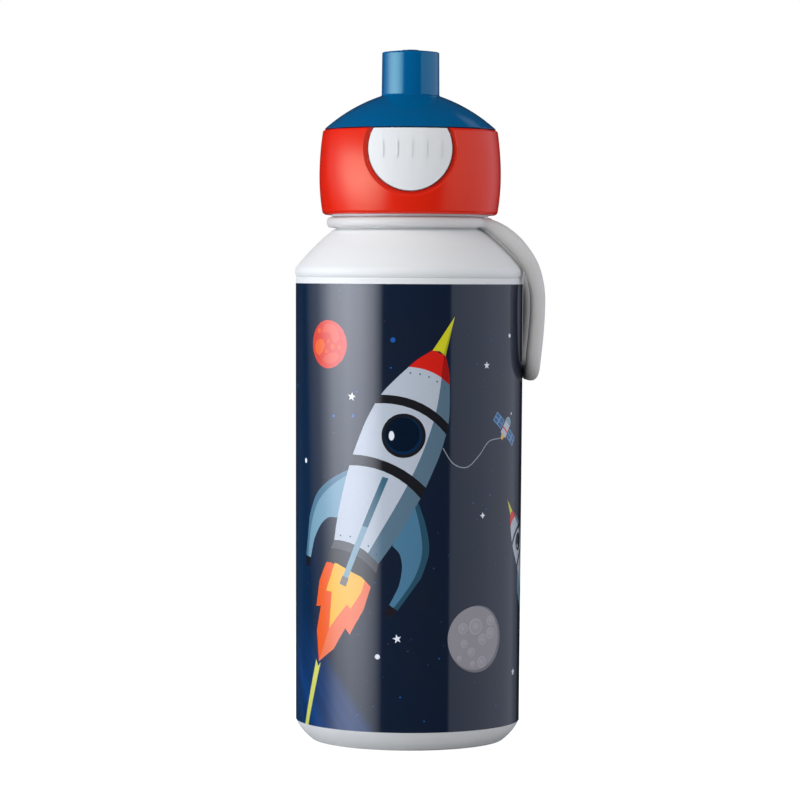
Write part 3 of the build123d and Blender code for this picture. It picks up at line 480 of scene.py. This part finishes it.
def build_sleeve():
    """Cut the sheet along every outline and column, colour it, and wrap it."""
    points, edges = [], []

    def add_loop(outline):
        first = len(points)
        points.extend(outline)
        edges.extend((first + k, first + (k + 1) % len(outline)) for k in range(len(outline)))
        return list(range(first, len(points)))

    sheet = add_loop([(-EDGE, FILM_LOW), (EDGE, FILM_LOW), (EDGE, FILM_HIGH), (-EDGE, FILM_HIGH)])
    for _, outline in shapes:
        add_loop(clipped(outline))
    for u in np.linspace(-EDGE, EDGE, SLEEVE_COLUMNS + 1)[1:-1]:
        first = len(points)
        points.extend([(u, FILM_LOW), (u, FILM_HIGH)])
        edges.append((first, first + 1))
    flat, _, triangles, _, _, _ = delaunay_2d_cdt([Vector(p) for p in points], edges, [sheet], 1, 1e-4)

    # the topmost shape over each triangle gives its ink
    centres = np.array([sum((flat[i] for i in t), Vector((0, 0))) / 3 for t in triangles])
    top = np.zeros(len(triangles), int)
    for number, (_, outline) in enumerate(shapes, start=1):
        ring = np.array(outline)
        near = np.all((centres >= ring.min(0)) & (centres <= ring.max(0)), axis=1)
        for k in np.flatnonzero(near):
            if inside(centres[k], ring):
                top[k] = number

    mesh = bpy.data.meshes.new("printed_sleeve")
    outer = [wrapped(p.x, p.y) for p in flat]
    inner = [wrapped(p.x, p.y, FILM_T) for p in flat]
    count = len(outer)
    used = {}
    for t in triangles:
        for a, b in zip(t, t[1:] + t[:1]):
            used[(a, b)] = used.get((a, b), 0) + 1
    rim = [(a, b) for a, b in used if (b, a) not in used]
    faces = [tuple(t) for t in triangles] + [tuple(i + count for i in reversed(t)) for t in triangles]
    faces += [(b, a, a + count, b + count) for a, b in rim]
    mesh.from_pydata(outer + inner, [], faces)
    mesh.materials.append(MATERIALS["sleeve_print"])

    ink = mesh.color_attributes.new("ink", "FLOAT_COLOR", "CORNER")
    is_sky = mesh.attributes.new("is_sky", "FLOAT", "FACE")
    place = mesh.uv_layers.new(name="unrolled")
    up = (FILM_R_LOW - FILM_R_HIGH) / (FILM_HIGH - FILM_LOW)
    normals = []
    for number, face in enumerate(mesh.polygons):
        owner = int(top[number]) if number < len(top) else 0
        color = (*INKS[shapes[owner - 1][0]], 1) if owner else (0, 0, 0, 1)
        is_sky.data[number].value = 0.0 if owner else 1.0
        face.use_smooth = True
        for loop, vertex in zip(face.loop_indices, face.vertices):
            u, z = flat[vertex % count]
            ink.data[loop].color = color
            place.data[loop].uv = (u / UV_UNIT, z / UV_UNIT)
            out = Vector((math.sin(u / FILM_R), -math.cos(u / FILM_R), up)).normalized()
            if number < len(triangles):
                normals.append(out)
            elif number < 2 * len(triangles):
                normals.append(-out)
            else:
                normals.append(face.normal.copy())
    mesh.normals_split_custom_set(normals)
    sleeve = bpy.data.objects.new("printed_sleeve", mesh)
    scene.collection.objects.link(sleeve)
    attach(sleeve, "root")
    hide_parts("printed_film")


build_sleeve()

# ---------------------------------------------------------------- the strap
STRAP_TURN = math.radians(4.5)
RING_PROFILE = [(22.3, 151.7), (23.7, 151.62), (24.4, 152.0), (24.68, 153.15), (24.4, 154.35),
                (23.7, 154.72), (22.3, 154.7)]
RING_BORE = 22.25 * MM
LEG_ACROSS = 11.0
LEG = [(20.9, -LEG_ACROSS, 153.1), (23.2, -LEG_ACROSS, 152.2), (26.7, -LEG_ACROSS, 149.9),
       (30.9, -LEG_ACROSS, 146.1), (34.8, -LEG_ACROSS, 140.5), (36.7, -LEG_ACROSS, 134.0),
       (36.95, -LEG_ACROSS, 127.5), (36.5, -LEG_ACROSS, 120.5), (35.9, -10.7, 114.2), (35.8, -8.6, 110.6),
       (35.85, -4.6, 109.35)]
LOOP_BOTTOM, BOTTOM_THICK = (35.9, 0.0, 109.25), 4.1
LEG_THICK = [3.0, 3.9, 5.0, 5.1, 4.8, 4.5, 4.4, 4.5, 4.5, 4.3, 4.15]
STRAP_W = 5.3
SQUARENESS = 2.6                    # 2 would make the strap's section an ellipse
STRAP_VOXEL, FILLET_REACH = 0.4 * MM, 6 * MM
FILLET_ROUNDS, SOFTEN_ROUNDS = 14, 3


def strap_place(rho, across, z):
    """A point given outwards, round the bottle and up, turned to where the strap stands."""
    c, s = math.cos(STRAP_TURN), math.sin(STRAP_TURN)
    return Vector((rho * c - across * s, rho * s + across * c, z)) * MM


def add_ring(mesh, profile, segments=144):
    """Lathe the ring."""
    section = smooth(profile, 3)
    loops = [[mesh.verts.new(Vector((r * math.cos(a), r * math.sin(a), z)) * MM) for r, z in section]
             for a in np.linspace(0, 2 * math.pi, segments, endpoint=False)]
    for k in range(segments):
        here, there = loops[k], loops[(k + 1) % segments]
        for j in range(len(section)):
            n = (j + 1) % len(section)
            mesh.faces.new((here[j], there[j], there[n], here[n]))


def add_loop_tube(mesh, sides=24):
    """Sweep the rounded section down one leg, round the bottom and up the other."""
    far = [(rho, -across, z) for rho, across, z in reversed(LEG)]
    path = np.array(smooth(LEG + [LOOP_BOTTOM] + far, 8))
    thick = np.interp(np.linspace(0, 1, len(path)), np.linspace(0, 1, 2 * len(LEG) + 1),
                      LEG_THICK + [BOTTOM_THICK] + LEG_THICK[::-1])
    along = np.gradient(path, axis=0)
    loops = []
    for at, t, size in zip(path, along, thick):
        t = Vector(t).normalized()
        out = Vector((1, 0, 0))
        out = (out - t * out.dot(t)).normalized()
        side = t.cross(out)
        ring = []
        for k in range(sides):
            a = 2 * math.pi * k / sides
            c, s = math.cos(a), math.sin(a)
            bulge = (abs(c) ** SQUARENESS + abs(s) ** SQUARENESS) ** (-1 / SQUARENESS)
            point = Vector(at) + out * (c * bulge * size / 2) + side * (s * bulge * STRAP_W / 2)
            ring.append(mesh.verts.new(strap_place(*point)))
        loops.append(ring)
    for here, there in zip(loops, loops[1:]):
        for k in range(sides):
            n = (k + 1) % sides
            mesh.faces.new((here[k], here[n], there[n], there[k]))
    mesh.faces.new(loops[0][::-1])
    mesh.faces.new(loops[-1])


def build_strap():
    """Ring and loop as one rubber moulding, with soft fillets where they meet."""
    shape = bmesh.new()
    add_ring(shape, RING_PROFILE)
    add_loop_tube(shape)
    bmesh.ops.recalc_face_normals(shape, faces=shape.faces)
    mesh = bpy.data.meshes.new("strap")
    shape.to_mesh(mesh)
    shape.free()
    strap = bpy.data.objects.new("strap", mesh)
    scene.collection.objects.link(strap)
    remesh = strap.modifiers.new("union", "REMESH")
    remesh.mode = "VOXEL"
    remesh.voxel_size = STRAP_VOXEL
    remesh.use_smooth_shade = True
    evaluated = strap.evaluated_get(bpy.context.evaluated_depsgraph_get())
    solid = bpy.data.meshes.new_from_object(evaluated)
    strap.modifiers.clear()
    strap.data = solid

    # soften the joint between ring and legs, and everything else only a little
    work = bmesh.new()
    work.from_mesh(solid)
    work.verts.ensure_lookup_table()
    roots = [strap_place(23.6, side * LEG_ACROSS, 152.4) for side in (-1, 1)]
    joint = [v for v in work.verts if min((v.co - r).length for r in roots) < FILLET_REACH]
    every_axis = {"use_axis_x": True, "use_axis_y": True, "use_axis_z": True}
    for _ in range(FILLET_ROUNDS):
        bmesh.ops.smooth_vert(work, verts=joint, factor=0.5, **every_axis)
    for _ in range(SOFTEN_ROUNDS):
        bmesh.ops.smooth_vert(work, verts=work.verts, factor=0.4, **every_axis)
    # the ring's bore stays clear of the neck
    for v in joint:
        r = math.hypot(v.co.x, v.co.y)
        if 0 < r < RING_BORE:
            v.co.x *= RING_BORE / r
            v.co.y *= RING_BORE / r
    work.to_mesh(solid)
    work.free()
    solid.materials.clear()
    solid.materials.append(MATERIALS["strap_rubber"])
    solid.polygons.foreach_set("use_smooth", [True] * len(solid.polygons))
    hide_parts("strap_ring", "strap_loop")
    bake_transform(strap)


build_strap()

# ---------------------------------------------------------------- stage, light and camera
scene.view_settings.view_transform = "Standard"
AMBIENT_LEVEL, GLOSS_LEVEL, KEY_LEVEL, CARD_LEVEL, REAR_LEVEL = 0.2, 0.02, 7.4, 0.95, 0.3
LEFT_FILL, FRONT_FILL, RIGHT_FILL, REAR_FILL = 6.7, 1.9, 3.6, 3.6


def studio_world(ambient, gloss):
    """White for the camera, a soft even light on surfaces, and nearly dark in reflections."""
    world = bpy.data.worlds.new("studio")
    scene.world = world
    world.use_nodes = True
    tree = world.node_tree
    background = tree.nodes["Background"]
    background.inputs["Color"].default_value = (1, 1, 1, 1)
    light_path = tree.nodes.new("ShaderNodeLightPath")
    unlit = tree.nodes.new("ShaderNodeMapRange")
    unlit.inputs["To Min"].default_value = ambient
    unlit.inputs["To Max"].default_value = gloss
    tree.links.new(light_path.outputs["Is Glossy Ray"], unlit.inputs["Value"])
    strength = tree.nodes.new("ShaderNodeMapRange")
    strength.inputs["To Max"].default_value = 1.0
    tree.links.new(unlit.outputs[0], strength.inputs["To Min"])
    tree.links.new(light_path.outputs["Is Camera Ray"], strength.inputs["Value"])
    tree.links.new(strength.outputs[0], background.inputs["Strength"])


def stage_mesh(name, vertices, faces, material):
    """A mesh that belongs to the studio, not to the bottle."""
    mesh = bpy.data.meshes.new(name)
    mesh.from_pydata(vertices, [], faces)
    mesh.materials.append(material)
    made = bpy.data.objects.new(name, mesh)
    scene.collection.objects.link(made)
    return made


def pale_floor(radius=0.6, fade_in=0.12, fade_out=0.5, sides=96):
    """A pale disc that fades into the white background away from the bottle."""
    made = Shader("floor_paint", (0.5, 0.5, 0.5), 0.9)
    made.bsdf.inputs["Emission Color"].default_value = (1, 1, 1, 1)
    path = made.node("ShaderNodeLightPath")
    glow = made.span(path.outputs["Is Camera Ray"], 0, 1, 0.02, 0.9)
    made.link(glow, made.bsdf.inputs["Emission Strength"])
    place = made.node("ShaderNodeTexCoord")
    length = made.node("ShaderNodeVectorMath", operation="LENGTH")
    made.link(place.outputs["Object"], length.inputs[0])
    made.link(made.span(length.outputs["Value"], fade_in, fade_out, 1, 0), made.bsdf.inputs["Alpha"])
    ring = [(radius * math.cos(a), radius * math.sin(a), -0.0002)
            for a in np.linspace(0, 2 * math.pi, sides, endpoint=False)]
    disc = stage_mesh("floor", ring, [list(range(sides))], made.material)
    disc.visible_glossy = False


CARD_RADIUS, TAPER_BELOW = 1.35, 0.25


def curved_card(name, azimuths, levels, heights, height_levels, strength, tint, taper=0.0):
    """A light card curved round the bottle, brighter or darker along and up it as the levels say.

    A taper draws it in towards its last azimuth, the further down the more.
    """
    made = bpy.data.materials.new(name)
    made.use_nodes = True
    tree = made.node_tree
    tree.nodes.clear()
    out = tree.nodes.new("ShaderNodeOutputMaterial")
    emission = tree.nodes.new("ShaderNodeEmission")
    emission.inputs["Color"].default_value = (*tint, 1)
    attribute = tree.nodes.new("ShaderNodeAttribute")
    attribute.attribute_name = "level"
    tree.links.new(attribute.outputs["Fac"], emission.inputs["Strength"])
    tree.links.new(emission.outputs[0], out.inputs["Surface"])
    steps, rows = 60, 16
    around = np.linspace(azimuths[0], azimuths[-1], steps)
    up = np.linspace(heights[0], heights[-1], rows)
    vertices = [(CARD_RADIUS * math.sin(a), -CARD_RADIUS * math.cos(a), z)
                for a in np.radians(around) for z in up]
    faces = [(i * rows + j, i * rows + j + 1, (i + 1) * rows + j + 1, (i + 1) * rows + j)
             for i in range(steps - 1) for j in range(rows - 1)]
    card = stage_mesh(name, vertices, faces, made)
    stretch = 1 + taper * np.clip(TAPER_BELOW - up, 0, None)
    reach = azimuths[-1] + (around[:, None] - azimuths[-1]) * stretch[None, :]
    level = np.interp(reach, azimuths, levels) * np.interp(up, heights, height_levels)[None, :] * strength
    card.data.attributes.new("level", "FLOAT", "POINT").data.foreach_set("value", level.ravel())
    card.visible_camera = False


FILL_DISTANCE, FILL_SIZE, FILL_AIM = 1.3, 0.9, Vector((0, 0, 0.1))


def fill_light(name, azimuth, elevation, power):
    """A soft square light that leaves no reflection; azimuth 0 is the camera's side."""
    a, e = math.radians(azimuth), math.radians(elevation)
    away = Vector((math.sin(a) * math.cos(e), -math.cos(a) * math.cos(e), math.sin(e)))
    light = bpy.data.lights.new(name, "AREA")
    light.size = FILL_SIZE
    light.energy = power
    lamp = bpy.data.objects.new(name, light)
    lamp.location = FILL_AIM + away * FILL_DISTANCE
    lamp.rotation_euler = away.to_track_quat("Z", "Y").to_euler()
    lamp.visible_camera = False
    lamp.visible_glossy = False
    scene.collection.objects.link(lamp)


studio_world(AMBIENT_LEVEL, GLOSS_LEVEL)
pale_floor()
curved_card("card_left", (-136, -124, -111, -100, -88, -68, -51, -38, -29.5, -26),
            (0, 0.05, 0.11, 0.33, 0.7, 1, 0.87, 0.55, 0.2, 0),
            (-0.30, -0.15, 0.12, 0.34, 0.42), (0.25, 0.45, 1, 0.9, 0), KEY_LEVEL, (0.98, 1.03, 1.15),
            taper=0.6)
curved_card("card_right", (41, 42.5, 66, 92, 120, 131, 140, 150, 155),
            (0, 0.85, 1, 1.1, 0.85, 0.75, 0.35, 0.15, 0), (-0.4, -0.1, 0.3, 0.8, 1.1), (0.7, 0.8, 1, 1, 0),
            CARD_LEVEL, (0.95, 1, 1.18))
curved_card("card_rear", (130, 133, 147, 153, 156), (0, 0.9, 1, 0.9, 0), (0.55, 0.7, 1.2, 1.5, 1.56),
            (0, 0.6, 1, 1, 0), REAR_LEVEL, (0.9, 1, 1.1))
fill_light("fill_left", -52, 45, LEFT_FILL)
fill_light("fill_front", 4, 38, FRONT_FILL)
fill_light("fill_right", 62, 5, RIGHT_FILL)
fill_light("fill_rear", 165, 30, REAR_FILL)

CAMERA_AT = Vector((0, -0.9829, 0.1379))
CAMERA_PITCH, CAMERA_YAW, CAMERA_ROLL = math.radians(2.173), math.radians(0.1555), math.radians(0.289)
SENSOR_WIDTH, FOCAL_LENGTH = 36, 148.97
camera_data = bpy.data.cameras.new("camera")
camera_data.sensor_width = SENSOR_WIDTH
camera_data.lens = FOCAL_LENGTH
camera_data.clip_start, camera_data.clip_end = 0.05, 10
camera = bpy.data.objects.new("camera", camera_data)
scene.collection.objects.link(camera)
turn = Matrix.Rotation(CAMERA_YAW, 4, "Z") @ Matrix.Rotation(math.pi / 2 - CAMERA_PITCH, 4, "X")
camera.matrix_world = Matrix.Translation(CAMERA_AT) @ turn @ Matrix.Rotation(CAMERA_ROLL, 4, "Z")
scene.camera = camera
